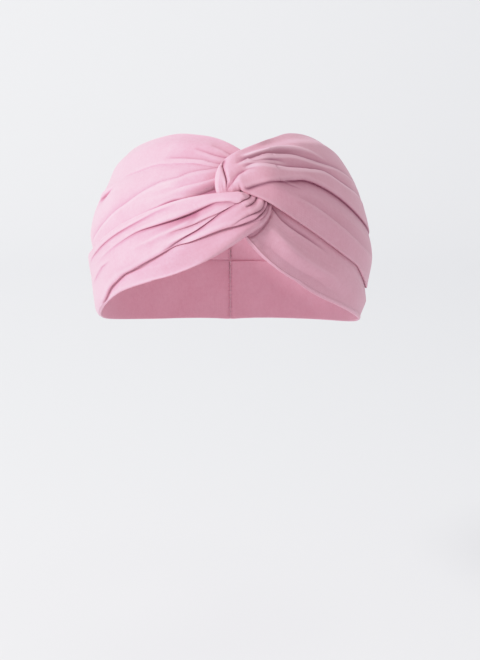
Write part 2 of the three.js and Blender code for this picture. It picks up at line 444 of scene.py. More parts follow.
@dataclass
class Strip:
    """A strip of doubled jersey with folded edges, gathered where it turns round the other strip."""

    name: str
    node: str
    sections: tuple[Section, ...]
    creases: tuple[Crease, ...]
    seed: float
    head: HeadForm = field(default_factory=HeadForm)
    # Cut size of the doubled strip: its width and its length
    flat: tuple[float, float] = (66.0, 530.0)
    # Spacing of the mesh's rings along the strip, and the points of a ring on each face and round each edge
    station_gap: float = 1.35
    outer_lines: int = 150
    inner_lines: int = 28
    edge_points: int = 5
    folded_edge: float = 1.2
    least_wall: float = 0.9
    # Distance over which the wall swells from a flat edge and from a rolled one
    edge_lift: float = 12.0
    roll_lift: float = 5.0
    # Share of the width over which a raised inner edge comes down to the head
    comes_down: float = 0.45
    # Rows of the table between which the strip's edges are rolls, and how many rows each change takes
    rolls: tuple[tuple[float, float], ...] = ((6.0, 13.5),)
    change_over: float = 1.5
    # The least tuck that counts as one
    least_tuck: float = 0.01
    # Each size of gather: folds across the strip, how fast they change from row to row, and their height
    gather_sizes: tuple[tuple[float, float, float], ...] = (
        (5.0, 0.55, 0.22),
        (13.0, 0.9, 0.16),
        (29.0, 1.3, 0.07),
    )
    # Row in the middle of the twist, rows over which the gathers fade from it, and the share left far off
    twist_row: float = 9.75
    twist_reach: float = 4.5
    far_gather: float = 0.25
    # How much closer the mesh's lines lie at an edge and at a crease, and over what distance
    edge_lines: tuple[float, float] = (2.5, 2.0)
    crease_lines: tuple[float, float] = (4.0, 1.2)
    # Width of the painted highlight along a folded edge, and how strong it is
    edge_highlight_width: float = 0.8
    edge_highlight: float = 0.3
    # Share of the wall that is left at the seam, and the rows over which the rest comes back
    seam_wall: float = 0.55
    seam_rows: float = 0.08
    # How soon creases reach their full depth away from an edge, and the depth of a cut in full painted
    # shade
    cut_gain: float = 1.6
    full_shade: float = 4.0
    piece: bpy.types.Object | None = None

    def rows(self, place: np.ndarray) -> Section:
        """Reads the table between its rows.

        Args:
            place: Places along the strip, in rows.

        Returns:
            A section whose columns are arrays shaped like place.
        """
        table = np.array(self.sections)
        last = len(table) - 1
        i = np.minimum(np.floor(place).astype(int), last - 1)
        f = (place - i)[..., None]
        a, b, c, d = (table[np.clip(i + k, 0, last)] for k in (-1, 0, 1, 2))
        bend = (2 * a - 5 * b + 4 * c - d) * f * f + (3 * b - a - 3 * c + d) * f**3
        mixed = 0.5 * (2 * b + (c - a) * f + bend)
        return Section(*np.moveaxis(mixed, -1, 0))

    def surface(self, row: Section, across: np.ndarray, lift: np.ndarray) -> np.ndarray:
        """Places points of the strip.

        Args:
            row: The sections of the points.
            across: Their places across the strip.
            lift: Their height off the head.

        Returns:
            Points in metres.
        """
        turn = row.inner_turn + (row.outer_turn - row.inner_turn) * across
        rise = row.inner_rise + (row.outer_rise - row.inner_rise) * across
        return self.head.point(turn, rise, lift)

    def stations(self) -> np.ndarray:
        """Spaces places evenly along the strip's longer edge, from seam to seam.

        Returns:
            Places along the strip, in rows.
        """
        fine = np.linspace(0, len(self.sections) - 1, FINE_ALONG)
        row = self.rows(fine)
        steps = np.zeros(len(fine) - 1)
        for across in (0.0, 0.5, 1.0):
            line = self.surface(row, np.full_like(fine, across), np.zeros_like(fine))
            steps = np.maximum(steps, np.linalg.norm(np.diff(line, axis=0), axis=1) / MM)
        run = np.concatenate([[0.0], np.cumsum(steps)])
        return np.interp(np.linspace(0, run[-1], int(run[-1] / self.station_gap)), run, fine)

    def width(self, row: Section) -> np.ndarray:
        """Measures the strip from edge to edge, in millimetres."""
        ends = [self.surface(row, np.full_like(row.thick, e), np.zeros_like(row.thick)) for e in (0.0, 1.0)]
        return np.linalg.norm(ends[1] - ends[0], axis=-1) / MM

    def inner_face(self, row: Section, across: np.ndarray) -> np.ndarray:
        """Gives the lift of the inner face, which comes down to the head from a raised inner edge."""
        return row.outer_lift + (row.inner_lift - row.outer_lift) * (1 - ease(across / self.comes_down))

    def swollen(self, distance: np.ndarray, rolled: np.ndarray) -> np.ndarray:
        """Gives the share of the wall at some distance from an edge.

        Args:
            distance: Millimetres from the edge.
            rolled: 0 where the edge is flat, 1 where it is a roll.

        Returns:
            A share from 0 to 1.
        """
        flat = ease(distance / self.edge_lift)
        full = np.sqrt(1 - (1 - np.clip(distance / self.roll_lift, 0, 1)) ** 2)
        return flat + (full - flat) * rolled

    def swell(self, row: Section, place: np.ndarray, across: np.ndarray, width: np.ndarray) -> np.ndarray:
        """Shapes the wall between its edges: thin and flat at a free edge, round at the edge of a roll.

        Args:
            row: The sections of the points.
            place: Their places along the strip.
            across: Their places across it.
            width: The strip's width there.

        Returns:
            A share of the full wall, from 0 to 1.
        """
        rolled = np.zeros(np.broadcast_shapes(place.shape, across.shape))
        for first, last in self.rolls:
            between = ease((place - first) / self.change_over) * ease((last - place) / self.change_over)
            rolled = np.maximum(rolled, between)
        from_inner = across * width
        outer = self.swollen((1 - across) * width, rolled)
        inner = self.swollen(from_inner, rolled)
        tucked = ease(from_inner / np.maximum(row.tuck, self.least_tuck))
        return np.minimum(outer, np.minimum(inner, np.where(row.tuck > self.least_tuck, tucked, 1.0)))

    def gathers(self, place: np.ndarray, across: np.ndarray) -> np.ndarray:
        """Adds fine gathers that run along the strip, strongest near the twist.

        Args:
            place: Places along the strip.
            across: Places across it.

        Returns:
            A height at each point, in millimetres.
        """
        made = np.zeros(place.shape)
        near = np.exp(-(((place[:, 0] - self.twist_row) / self.twist_reach) ** 2))
        share = self.far_gather + (1 - self.far_gather) * near
        for folds, run, height in self.gather_sizes:
            for i in range(place.shape[0]):
                amount = height * share[i]
                along = place[i, 0] * run
                made[i] += [amount * noise.noise((a * folds, along, self.seed + folds)) for a in across[i]]
        return made

    def lines(self, place: np.ndarray, width: np.ndarray) -> np.ndarray:
        """Spaces the outer face's points across the strip, closer together at its edges and creases.

        Args:
            place: Places along the strip, one in each row.
            width: The strip's width at each place.

        Returns:
            Places across the strip from 0 to 1, a row for each station.
        """
        fine = np.linspace(0, 1, FINE_ACROSS)[None, :]
        gain, reach = self.edge_lines
        closer = 1 + gain * np.exp(-np.minimum(fine, 1 - fine) * width / reach)
        gain, reach = self.crease_lines
        for crease in self.creases:
            middle, depth = crease.line(place)
            if crease.form is not Fold.RIDGE:
                near = np.exp(-np.abs(fine - middle) * width / reach)
                closer = closer + gain * np.clip(depth, 0, 1) * near
        total = np.cumsum(closer, axis=1)
        total = (total - total[:, :1]) / (total[:, -1:] - total[:, :1])
        wanted = np.linspace(0, 1, self.outer_lines)
        return np.stack([np.interp(wanted, row, fine[0]) for row in total])

    def build(self) -> None:
        """Makes the strip's mesh: a ring of points for each station, skinned and closed at the seam."""
        place = self.stations()[:, None]
        row = self.rows(place)
        width = self.width(row)
        outer = self.lines(place, width)
        along = np.broadcast_to(place, outer.shape)
        swell = self.swell(row, along, outer, width)
        cut = np.zeros(outer.shape)
        ridge = np.zeros(outer.shape)
        shade = np.zeros(outer.shape)
        lean = np.zeros(outer.shape)
        # Painted highlight along both folded edges, and along the roll of each crease
        crest = self.edge_highlight * np.exp(-((np.minimum(outer, 1 - outer) * width / self.edge_highlight_width) ** 2))
        for crease in self.creases:
            middle, depth = crease.line(along)
            off = (outer - middle) * width
            crest = np.maximum(crest, crease.crest(off, depth))
            if crease.form is Fold.RIDGE:
                ridge = ridge + crease.raised(off, depth)
                continue
            deeper, darker, push = crease.fold(off, depth)
            cut = np.maximum(cut, deeper)
            shade = np.maximum(shade, darker)
            lean = lean + push
        ends = ease(np.minimum(along, len(self.sections) - 1 - along) / self.seam_rows)
        wall = self.folded_edge + (row.thick - self.folded_edge) * swell
        wall = wall + ridge + self.gathers(along, outer) * swell
        wall = wall - cut * np.minimum(1, self.cut_gain * swell)
        wall = np.maximum(self.least_wall, wall) * (self.seam_wall + (1 - self.seam_wall) * ends)
        top = self.inner_face(row, outer) + wall
        inner = np.broadcast_to(np.linspace(1, 0, self.inner_lines), (len(place), self.inner_lines))
        under = self.inner_face(row, inner)
        free = self.edge(1, top[:, -1:], under[:, :1], width)
        tucked = self.edge(0, under[:, -1:], top[:, :1], width)
        across = np.concatenate([outer + lean * swell / width, free[0], inner, tucked[0]], axis=1)
        lift = np.concatenate([top, free[1], under, tucked[1]], axis=1)
        points = self.surface(Section(*(np.broadcast_to(c, across.shape) for c in row)), across, lift)
        shaded = np.zeros(across.shape)
        # Painted shade: deeper cuts and the gaps of creases get a darker colour
        shaded[:, : self.outer_lines] = np.clip(np.maximum(cut * swell / self.full_shade, shade), 0, 1)
        highlight_amount = np.zeros(across.shape)
        highlight_amount[:, : self.outer_lines] = crest
        self.piece = self.skin(points, across, {PAINTED_SHADE: shaded, HIGHLIGHT: highlight_amount})

    def edge(
        self, side: int, first: np.ndarray, last: np.ndarray, width: np.ndarray
    ) -> tuple[np.ndarray, np.ndarray]:
        """Rounds a folded edge with points between its two faces.

        Args:
            side: 1 for the outer edge and 0 for the inner edge.
            first: Lift of the face that the round starts from.
            last: Lift of the face that it ends on.
            width: The strip's width.

        Returns:
            The points' places across the strip, and their lifts.
        """
        angle = np.linspace(0, math.pi, self.edge_points + 2)[1:-1]
        bulge = np.abs(first - last) / 2 * np.sin(angle) / width
        across = side + (bulge if side else -bulge)
        lift = (first + last) / 2 + (first - last) / 2 * np.cos(angle)
        return across, lift

    def skin(
        self, points: np.ndarray, across: np.ndarray, shares: dict[str, np.ndarray]
    ) -> bpy.types.Object:
        """Joins rings of points into a closed mesh with a cloth map and attributes for its material.

        Args:
            points: Points by station and place round the ring.
            across: Their places across the strip.
            shares: For each attribute, its value at each point.

        Returns:
            The mesh's object.
        """
        stations, count = across.shape
        corner = np.arange(stations * count).reshape(stations, count)
        following = np.roll(corner, -1, axis=1)
        quads = np.stack([corner[:-1], following[:-1], following[1:], corner[1:]], -1).reshape(-1, 4)
        faces = [*quads.tolist(), corner[0, ::-1].tolist(), corner[-1].tolist()]
        if self.volume(points.reshape(-1, 3), quads) < 0:
            faces = [face[::-1] for face in faces]
        mesh = bpy.data.meshes.new(self.name)
        mesh.from_pydata(points.reshape(-1, 3).tolist(), [], faces)
        mesh.shade_smooth()
        run = np.linspace(0, self.flat[1] * MM, stations)[:, None]
        cloth = np.stack(np.broadcast_arrays(run, across * self.flat[0] * MM), -1).reshape(-1, 2)
        corners = np.empty(len(mesh.loops), dtype=np.int32)
        mesh.loops.foreach_get("vertex_index", corners)
        mesh.uv_layers.new(name=CLOTH_UV).data.foreach_set("uv", cloth[corners].ravel())
        for name, share in shares.items():
            mesh.attributes.new(name, "FLOAT", "POINT").data.foreach_set("value", share.ravel())
        return new_object(self.name, mesh)

    @staticmethod
    def volume(points: np.ndarray, quads: np.ndarray) -> float:
        """Gives the signed volume inside the skin, positive where its faces point outwards."""
        a, b, c, d = (points[quads[:, k]] for k in range(4))
        return float((np.cross(b, c) * a).sum() + (np.cross(c, d) * a).sum()) / 6

    def dress(self, material: bpy.types.Material, other: str) -> None:
        """Gives the strip its cloth and puts it in its node's place.

        Args:
            material: The jersey.
            other: Name of the strip that this one is looped round; not used.
        """
        self.piece.data.materials.append(material)
        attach(self.piece, BODY)
        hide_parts(self.node)
        log.info("%s: %d faces", self.name, len(self.piece.data.polygons))


LEFT_SECTIONS = (
    Section(-179.98, -10.6, -179.98, 7.0, 0.4, 0.4, 1.5, 8),
    Section(-142, -9.2, -142, 17.0, 0.4, 0.4, 2.2, 8),
    Section(-106, -4.5, -106, 34.5, 0.6, 0.6, 3.2, 2.5),
    Section(-77, 2.0, -77, 49.0, 0.8, 0.8, 3.4, 2.5),
    Section(-50, 17.1, -50, 58.4, 0.6, 0.6, 3.3, 4),
    Section(-27, 26.2, -27, 60.0, 0.4, 0.4, 3.6, 8),
    Section(-12, 28.8, -8.5, 58.2, 0.4, 0.4, 4.0, 11),
    Section(2.6, 35.4, 6.4, 52.6, 0.4, 0.4, 3.2, 10),
    Section(4.4, 35.0, 14.0, 45.0, 0.4, 0.4, 3.0, 8),
    Section(4.7, 34.3, 17.0, 35.0, 1.0, 1.0, 2.8, 6),
    Section(4.7, 33.2, 17.4, 27.8, 2.6, 2.6, 2.8, 0),
    Section(4.4, 32.3, 13.2, 21.6, 4.8, 4.8, 3.8, 0),
    Section(2.2, 32.3, 6.8, 17.8, 5.0, 4.8, 4.2, 0),
    Section(-11, 31.6, -9, 9.0, 3.4, 2.2, 4.6, 0),
    Section(-27, 28.0, -27, 1.5, 2.2, 0.6, 4.6, 0),
    Section(-50, 17.8, -50, -4.6, 2.2, 0.8, 4.2, 0),
    Section(-77, 2.6, -78, -14.4, 2.4, 1.0, 3.0, 0),
    Section(-106, -4.0, -106, -20.8, 2.2, 0.8, 2.8, 0),
    Section(-142, -8.0, -142, -25.6, 2.0, 0.5, 2.2, 0),
    Section(-179.98, -9.4, -179.98, -27.7, 1.9, 0.4, 1.5, 0),
)
RIGHT_SECTIONS = (
    Section(179.98, -12.4, 179.98, 7.0, 1.9, 0.4, 1.5, 0),
    Section(142, -11.6, 142, 18.5, 2.0, 0.5, 2.2, 0),
    Section(106, -10.2, 106, 38.5, 2.2, 0.6, 2.8, 0),
    Section(79, -7.4, 77, 53.6, 2.4, 0.5, 3.4, 0),
    Section(53, 5.4, 54, 58.8, 2.3, 0.4, 3.6, 0),
    Section(31, 20.0, 32, 57.0, 2.5, 1.2, 4.6, 0),
    Section(17, 28.4, 17, 52.6, 4.7, 4.5, 4.6, 0),
    Section(6.8, 32.6, 5.6, 49.2, 5.0, 4.8, 4.2, 0),
    Section(4.4, 33.8, -2.6, 45.2, 4.8, 4.8, 3.8, 0),
    Section(3.9, 33.5, -6.4, 39.8, 4.4, 4.6, 3.4, 0),
    Section(3.9, 32.6, -6.0, 33.8, 2.2, 2.6, 2.8, 0),
    Section(4.2, 31.6, -2.2, 27.6, 0.4, 0.4, 2.8, 6),
    Section(6.6, 30.8, 5.0, 18.6, 0.4, 0.4, 3.0, 7),
    Section(18.5, 30.2, 14.5, 8.6, 0.4, 0.4, 3.0, 7),
    Section(31, 21.4, 29, -1.0, 0.4, 0.4, 3.0, 8),
    Section(53, 6.6, 50, -8.2, 0.6, 0.6, 2.8, 8),
    Section(79, -6.5, 77, -15.6, 0.8, 0.8, 3.2, 7),
    Section(106, -9.3, 106, -21.5, 0.6, 0.6, 2.8, 7),
    Section(142, -10.7, 142, -25.6, 0.5, 0.5, 2.2, 7),
    Section(179.98, -11.5, 179.98, -27.7, 0.4, 0.4, 1.5, 7),
)
LEFT_CREASES = (
    Crease("fan_dip", Fold.INWARD, roll=7.0, slope=3.0, lip=0.0, gap=0.7, path=(
        (4.3, 0.04, 0.1), (4.57, 0.055, 0.8), (5.0, 0.09, 1.6), (5.32, 0.095, 2.2),
        (5.56, 0.115, 2.7), (5.72, 0.125, 3.0), (6.02, 0.145, 3.2), (6.6, 0.17, 3.2),
        (7.2, 0.19, 3.0),
    )),
    Crease("wedge_shade", Fold.INWARD, roll=7.0, slope=3.0, lip=0.0, gap=4.5, dark=0.75, path=(
        (5.1, 0.1, 0.1), (5.4, 0.105, 0.6), (5.72, 0.125, 1.4), (6.02, 0.145, 1.8), (6.6, 0.17, 2.0),
        (7.2, 0.19, 2.0),
    )),
    Crease("fan_low", Fold.OUTWARD, roll=1.0, slope=6.0, lip=0.4, gap=0.4, dark=0.4, path=(
        (4.9, 0.2, 0.1), (5.15, 0.225, 0.6), (5.33, 0.245, 1.0), (5.64, 0.27, 1.3), (5.95, 0.29, 1.4),
        (6.6, 0.33, 1.4), (7.2, 0.36, 1.4),
    )),
    Crease("fan_hollow", Fold.RIDGE, slope=3.0, path=(
        (4.2, 0.22, -0.1), (4.47, 0.235, -0.7), (4.68, 0.24, -0.9), (4.92, 0.245, -1.0),
        (5.22, 0.275, -0.9), (5.62, 0.305, -0.5), (6.0, 0.32, -0.1),
    )),
    Crease("fan_middle", Fold.OUTWARD, roll=1.2, slope=3.5, lip=1.0, gap=0.45, path=(
        (2.8, 0.09, 0.2), (3.06, 0.115, 0.7), (3.35, 0.145, 1.1), (3.76, 0.19, 1.4),
        (3.95, 0.205, 1.5), (4.16, 0.245, 1.6), (4.31, 0.275, 1.6), (4.46, 0.3, 1.6),
        (4.62, 0.325, 1.6), (4.8, 0.335, 1.5), (5.05, 0.345, 1.4), (5.29, 0.385, 1.4),
        (5.56, 0.415, 1.4), (6.02, 0.445, 1.4), (6.6, 0.48, 1.4), (7.2, 0.52, 1.4),
    )),
    Crease("fan_fine", Fold.INWARD, roll=1.2, slope=3.0, lip=0.6, gap=0.4, dark=0.6, path=(
        (3.3, 0.58, 0.1), (3.49, 0.575, 0.3), (3.93, 0.555, 0.5), (4.23, 0.56, 0.5),
        (4.53, 0.545, 0.5), (4.91, 0.53, 0.5), (5.18, 0.525, 0.6), (5.6, 0.515, 0.8),
        (5.99, 0.5, 0.9), (6.17, 0.49, 1.0), (7.2, 0.55, 1.0),
    )),
    Crease("fan_high", Fold.OUTWARD, roll=1.2, slope=4.0, lip=0.7, gap=0.45, dark=1.1, path=(
        (4.4, 0.62, 0.1), (4.91, 0.595, 1.1), (5.36, 0.58, 1.6), (5.78, 0.57, 1.8),
        (6.04, 0.545, 1.8), (6.17, 0.53, 1.8), (7.2, 0.58, 1.8),
    )),
    Crease("fan_soft", Fold.OUTWARD, roll=1.6, slope=3.5, lip=0.6, gap=0.5, path=(
        (5.1, 0.74, 0.1), (5.42, 0.71, 0.5), (5.88, 0.675, 1.0), (6.22, 0.645, 1.3), (7.2, 0.64, 1.3),
    )),
    Crease("fan_top", Fold.OUTWARD, roll=1.3, slope=4.0, gap=0.5, dark=0.8, path=(
        (5.7, 0.83, 0.1), (6.03, 0.79, 0.8), (6.26, 0.765, 1.1), (6.48, 0.73, 1.3), (7.2, 0.7, 1.4),
    )),
    Crease("side_notch", Fold.INWARD, roll=1.8, slope=3.5, lip=0.5, fade=0.15, gap=0.5, dark=0.5, path=(
        (2.8, 0.415, 0.2), (2.95, 0.44, 1.0), (3.07, 0.465, 1.6), (3.15, 0.487, 1.2),
        (3.23, 0.507, 0.5), (3.35, 0.535, 0.1),
    )),
    Crease("side_lump", Fold.RIDGE, slope=2.4, path=(
        (2.7, 0.43, 0.1), (2.9, 0.465, 1.2), (3.02, 0.49, 1.9), (3.12, 0.515, 1.4),
        (3.22, 0.537, 0.5), (3.34, 0.56, 0.1),
    )),
    Crease("shoulder_hollow", Fold.RIDGE, slope=13.0, path=(
        (1.4, 0.66, -0.2), (2.1, 0.66, -1.4), (2.8, 0.66, -2.4), (3.3, 0.66, -2.5), (3.9, 0.65, -1.4),
        (4.6, 0.64, -0.2),
    )),
    Crease("roll_under", Fold.OUTWARD, roll=4.0, slope=5.0, path=(
        (11.7, 0.245, 0.4), (12.0, 0.25, 0.9), (12.24, 0.225, 1.2), (12.44, 0.205, 1.0),
        (12.66, 0.18, 1.1), (12.96, 0.195, 2.0), (13.35, 0.23, 3.0), (13.84, 0.255, 3.0),
        (14.19, 0.265, 2.0), (14.54, 0.275, 1.1), (15.0, 0.36, 0.5), (15.7, 0.48, 0.1),
    )),
    Crease("roll_wedge", Fold.OUTWARD, roll=4.0, slope=6.0, lip=0.0, gap=1.7, path=(
        (12.9, 0.2, 0.2), (13.26, 0.235, 1.6), (13.55, 0.255, 1.5), (13.81, 0.268, 1.0),
        (14.05, 0.275, 0.5), (14.3, 0.28, 0.1),
    )),
    Crease("roll_lower", Fold.RIDGE, slope=2.4, path=(
        (13.1, 0.33, 0.2), (13.4, 0.36, 0.9), (13.7, 0.39, 1.2), (14.05, 0.43, 1.1),
        (14.4, 0.48, 0.7), (14.8, 0.5, 0.1),
    )),
    Crease("roll_line", Fold.OUTWARD, roll=2.0, slope=3.5, lip=0.3, path=(
        (13.7, 0.05, 0.1), (14.04, 0.055, 0.5), (14.27, 0.06, 0.8), (14.58, 0.1, 1.0),
        (14.9, 0.14, 1.0), (15.15, 0.17, 0.9), (15.52, 0.2, 0.8), (15.85, 0.235, 0.4),
        (16.2, 0.25, 0.1),
    )),
    Crease("slant_short", Fold.OUTWARD, roll=2.6, slope=3.5, lip=0.5, dark=0.6, path=(
        (11.9, 0.29, 0.6), (12.31, 0.31, 1.0), (12.84, 0.375, 1.2), (13.17, 0.415, 1.3),
        (13.4, 0.43, 1.2), (13.7, 0.44, 0.8), (14.1, 0.47, 0.1),
    )),
    Crease("slant_long", Fold.OUTWARD, roll=3.0, slope=3.5, path=(
        (11.6, 0.24, 0.6), (11.95, 0.26, 1.0), (12.18, 0.29, 1.2), (12.45, 0.335, 1.3),
        (12.85, 0.435, 1.5), (13.17, 0.51, 1.5), (13.35, 0.535, 1.5), (13.73, 0.595, 1.4),
        (14.1, 0.67, 0.8),
    )),
    Crease("low_fold", Fold.OUTWARD, roll=2.0, slope=5.0, fade=0.15, gap=0.5, dark=0.6, path=(
        (11.0, 0.785, 0.3), (11.79, 0.76, 1.4), (12.14, 0.72, 1.8), (12.5, 0.66, 1.9),
        (13.33, 0.64, 1.8), (13.73, 0.63, 1.8), (14.01, 0.675, 1.9), (14.33, 0.735, 2.0),
        (14.7, 0.825, 2.1), (15.01, 0.875, 2.3), (15.25, 0.905, 2.4), (15.4, 0.96, 2.4),
        (15.6, 1.0, 1.8),
    )),
    Crease("turn_first", Fold.OUTWARD, roll=2.2, slope=1.4, dark=0.6, path=(
        (9.3, 0.25, 1.6), (9.98, 0.27, 1.9), (11.0, 0.24, 2.0), (11.56, 0.235, 1.9),
        (11.95, 0.25, 1.5), (12.4, 0.235, 0.6),
    )),
    Crease("turn_second", Fold.OUTWARD, roll=1.8, slope=1.6, dark=0.7, path=(
        (9.3, 0.47, 1.6), (9.98, 0.46, 2.0), (10.81, 0.425, 1.8), (11.38, 0.425, 1.1),
        (11.76, 0.45, 0.7), (12.1, 0.475, 0.4), (12.5, 0.5, 0.1),
    )),
    Crease("turn_third", Fold.OUTWARD, roll=1.6, slope=1.3, path=(
        (9.3, 0.73, 1.6), (10.09, 0.725, 2.0), (10.65, 0.71, 1.9), (11.16, 0.66, 1.5),
        (11.92, 0.65, 0.9), (12.21, 0.65, 0.6), (12.7, 0.65, 0.1),
    )),
    Crease("turn_fourth", Fold.OUTWARD, roll=1.4, slope=1.2, lip=0.5, path=(
        (9.3, 0.85, 1.6), (10.13, 0.85, 2.0), (10.59, 0.815, 2.1), (11.06, 0.775, 2.1),
        (11.79, 0.75, 1.8), (12.14, 0.71, 1.2), (12.6, 0.65, 0.3),
    )),
    Crease("turn_fifth", Fold.OUTWARD, roll=1.0, slope=1.0, dark=0.6, path=(
        (9.3, 0.93, 1.2), (10.14, 0.925, 1.4), (10.58, 0.905, 1.3), (10.95, 0.89, 1.0),
        (11.41, 0.87, 0.5), (11.8, 0.86, 0.1),
    )),
    Crease("side_tuck", Fold.OUTWARD, roll=3.0, slope=4.0, lip=0.2, path=(
        (15.0, 0.57, 0.1), (15.3, 0.585, 0.6), (15.6, 0.588, 0.6), (16.0, 0.585, 0.1),
    )),
)
RIGHT_CREASES = (
    Crease("main_fold", Fold.INWARD, roll=1.4, slope=7.0, fade=0.15, gap=0.5, path=(
        (2.0, 0.239, 0.3), (2.6, 0.278, 0.9), (3.21, 0.34, 1.5), (3.9, 0.435, 1.9), (4.3, 0.473, 2.0),
        (4.67, 0.484, 2.2), (5.1, 0.43, 2.2), (5.38, 0.385, 1.8), (5.88, 0.305, 1.1),
        (6.26, 0.225, 1.0), (6.52, 0.165, 1.2), (6.8, 0.09, 1.3), (7.0, 0.045, 0.9), (7.2, 0.01, 0.2),
    )),
    Crease("main_short", Fold.INWARD, roll=1.2, slope=3.0, lip=0.3, fade=0.1, gap=0.4, path=(
        (4.8, 0.36, 0.1), (4.95, 0.362, 0.7), (5.18, 0.368, 1.2), (5.45, 0.372, 1.2),
        (5.6, 0.36, 0.4),
    )),
    Crease(
        "ridge_fold",
        Fold.OUTWARD,
        roll=0.9, slope=4.5, gap=0.8, dark=1.1, highlight_width=0.9, highlight_amount=1.0,
        path=(
            (2.3, 0.461, 0.2), (3.1, 0.528, 1), (3.55, 0.556, 1.5), (3.94, 0.6, 1.9), (4.51, 0.587, 2.1),
            (5.15, 0.55, 2.2), (5.81, 0.545, 2.1), (6.42, 0.55, 1.6), (6.81, 0.515, 0.8),
            (7.2, 0.49, 0.1),
        ),
    ),
    Crease("ridge_short", Fold.OUTWARD, roll=1.0, slope=2.5, lip=0.4, gap=0.7, highlight_amount=0.8, path=(
        (4.9, 0.625, 0.1), (5.2, 0.63, 0.6), (5.6, 0.635, 1.5), (5.9, 0.635, 1.8), (6.44, 0.635, 1.6),
        (6.9, 0.66, 0.8), (7.1, 0.67, 0.3),
    )),
    Crease("upper_fold", Fold.OUTWARD, roll=0.9, slope=4.5, gap=0.9, highlight_amount=1.0, dark=1.05, path=(
        (2.4, 0.573, 0.2), (3.03, 0.648, 0.7), (3.43, 0.669, 0.9), (3.8, 0.675, 1.1),
        (4.18, 0.685, 1.6), (4.79, 0.713, 2.6), (5.32, 0.7, 3.0), (5.85, 0.7, 3.0), (6.3, 0.675, 2.7),
        (6.75, 0.65, 1.8), (7.1, 0.63, 0.8), (7.6, 0.605, 0.1),
    )),
    Crease("top_roll", Fold.RIDGE, slope=1.5, highlight_amount=1.4, path=(
        (3.5, 0.72, 0.1), (3.8, 0.738, 0.4), (4.04, 0.765, 0.8), (4.39, 0.788, 1.3), (4.74, 0.8, 1.7),
        (5.27, 0.807, 2.0), (5.81, 0.803, 2.0), (6.3, 0.795, 1.7), (6.7, 0.782, 1.0),
        (7.2, 0.77, 0.3),
    )),
    Crease("top_hollow", Fold.RIDGE, slope=3.0, path=(
        (3.2, 0.92, -0.1), (4.0, 0.92, -0.4), (4.8, 0.92, -0.6), (5.5, 0.915, -0.7),
        (6.2, 0.91, -0.6), (6.8, 0.9, -0.3), (7.2, 0.9, -0.1),
    )),
    Crease("bend_fold", Fold.OUTWARD, roll=1.8, slope=3.0, path=(
        (6.2, 0.47, 0.1), (6.45, 0.465, 0.5), (6.7, 0.445, 0.9), (7.2, 0.35, 1.2), (8.03, 0.25, 1.2),
        (9.18, 0.29, 1), (9.56, 0.37, 0.9), (9.85, 0.47, 0.8), (10.4, 0.55, 0.5),
    )),
    Crease("bend_crease", Fold.INWARD, roll=2.4, slope=3.0, fade=0.15, path=(
        (7.9, 1, 2.4), (8.33, 0.96, 2.6), (8.56, 0.82, 2.5), (8.95, 0.625, 2.0), (9.4, 0.54, 1.0),
        (10.5, 0.5, 0.3),
    )),
    Crease("soft_fold", Fold.OUTWARD, roll=2.0, slope=6.0, lip=0.4, dark=0.2, path=(
        (2.8, 0.112, 0.2), (3.27, 0.131, 0.6), (3.7, 0.148, 0.8), (4.08, 0.18, 0.9),
        (4.73, 0.232, 0.9), (5.2, 0.24, 0.4), (5.6, 0.24, 0.1),
    )),
    Crease("hidden_fold", Fold.INWARD, roll=3.0, slope=5.0, path=(
        (12.8, 0.12, 0.8), (13.06, 0.15, 1.6), (13.29, 0.245, 2), (13.56, 0.265, 2),
        (13.83, 0.26, 1.8), (14.18, 0.26, 1.2), (14.41, 0.27, 0.5), (14.7, 0.28, 0.1),
    )),
    Crease("turn_hollow", Fold.INWARD, roll=9.0, slope=4.0, lip=0.0, fade=0.12, dark=0.5, path=(
        (12.1, 1, 1.2), (12.39, 0.86, 1.4), (12.72, 0.575, 1.3), (12.95, 0.34, 1.3),
        (13.1, 0.12, 1.2),
    )),
    Crease("low_ridge", Fold.RIDGE, slope=4.0, path=(
        (12.6, 0.5, 0.2), (13.07, 0.53, 1.7), (13.4, 0.57, 2.1), (13.83, 0.6, 1.8),
        (14.28, 0.64, 1.2), (15.0, 0.7, 0.1),
    )),
    Crease("low_hollow", Fold.RIDGE, slope=4.0, path=(
        (12.5, 0.8, -0.3), (12.75, 0.82, -1.4), (13.2, 0.85, -1.9), (13.6, 0.86, -1.8),
        (14.1, 0.87, -1.4), (14.7, 0.86, -0.9), (15.6, 0.82, -0.2),
    )),
    Crease("lower_hem", Fold.RIDGE, slope=0.8, path=(
        (11.8, 0.98, 0.2), (12.3, 0.982, 0.8), (13.5, 0.984, 0.8), (15, 0.98, 0.6),
        (16.5, 0.975, 0.3), (19, 0.97, 0.1),
    )),
)


